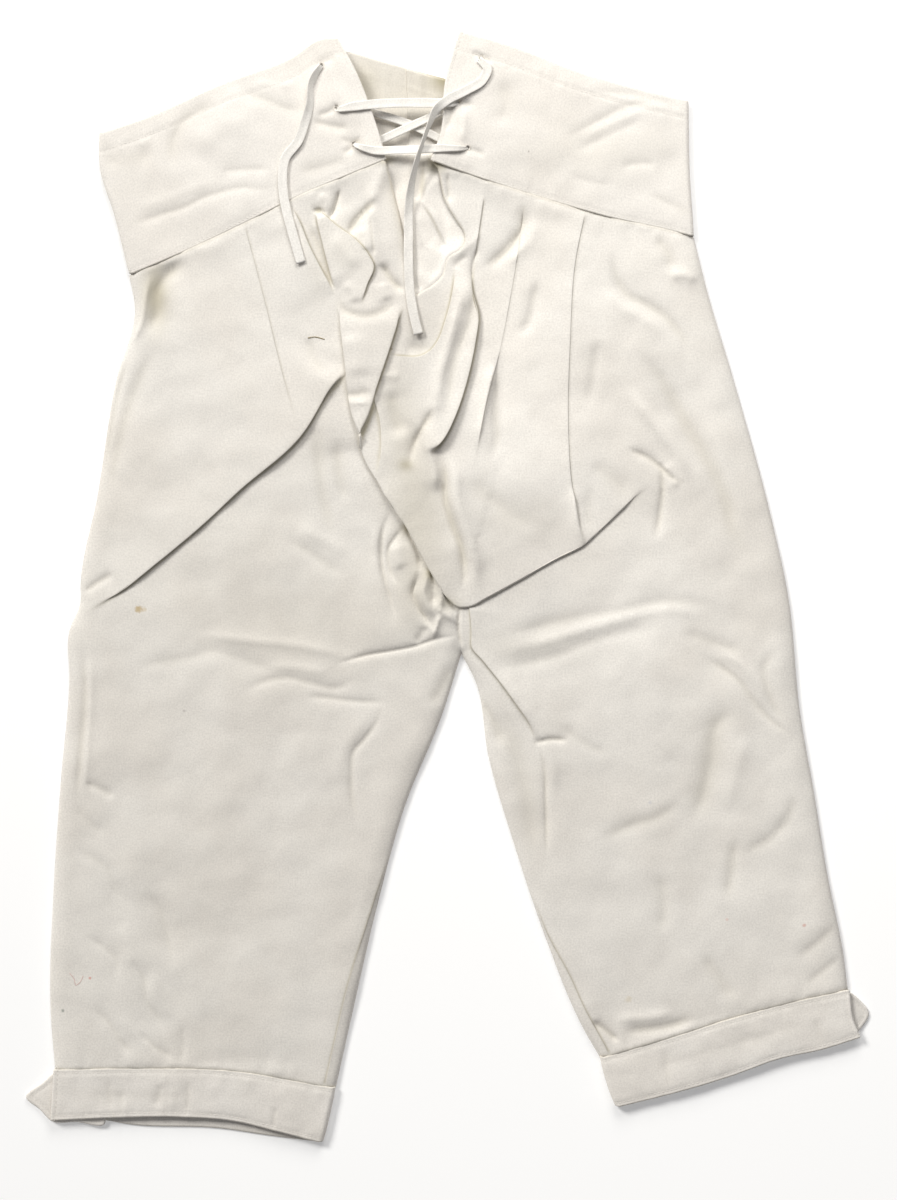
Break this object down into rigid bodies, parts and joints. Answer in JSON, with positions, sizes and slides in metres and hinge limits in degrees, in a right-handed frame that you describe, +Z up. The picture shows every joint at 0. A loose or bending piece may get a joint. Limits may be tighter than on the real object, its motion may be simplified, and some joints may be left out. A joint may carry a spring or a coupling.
{
  "type": "pair of knee breeches, laid flat",
  "caption": "Cream cotton knee breeches laid flat, back side up, with a full folded seat, a deep laced waistband, and knee bands with pointed strap ends.",
  "frame": {"origin": "centre of the bounding box of the garment without its free lace ends, on the surface that it lies on", "axes": "+X to the right as the breeches lie back side up, which is the wearer's right; +Y towards the waist; +Z up"},
  "size_m": [0.5865, 0.7776, 0.0203],
  "materials": {
    "leg_cloth": "cream cotton drill, soft and matte",
    "band_cloth": "cream cotton drill, doubled and topstitched, matte",
    "tape": "white woven cotton tape, matte"
  },
  "bodies": {
    "root": {"back_leg_left": "leg_cloth", "back_leg_right": "leg_cloth", "front_leg_left": "leg_cloth", "front_leg_right": "leg_cloth", "back_gusset": "leg_cloth", "waistband_left": "band_cloth", "waistband_right": "band_cloth", "knee_band_left": "band_cloth", "knee_band_right": "band_cloth", "knee_tab_left": "band_cloth", "knee_tab_right": "band_cloth", "lace_bar_upper": "tape", "lace_bar_lower": "tape", "lace_cross_one": "tape", "lace_cross_two": "tape", "lace_end_left": "tape", "lace_end_right": "tape"}
  },
  "joints": []
}
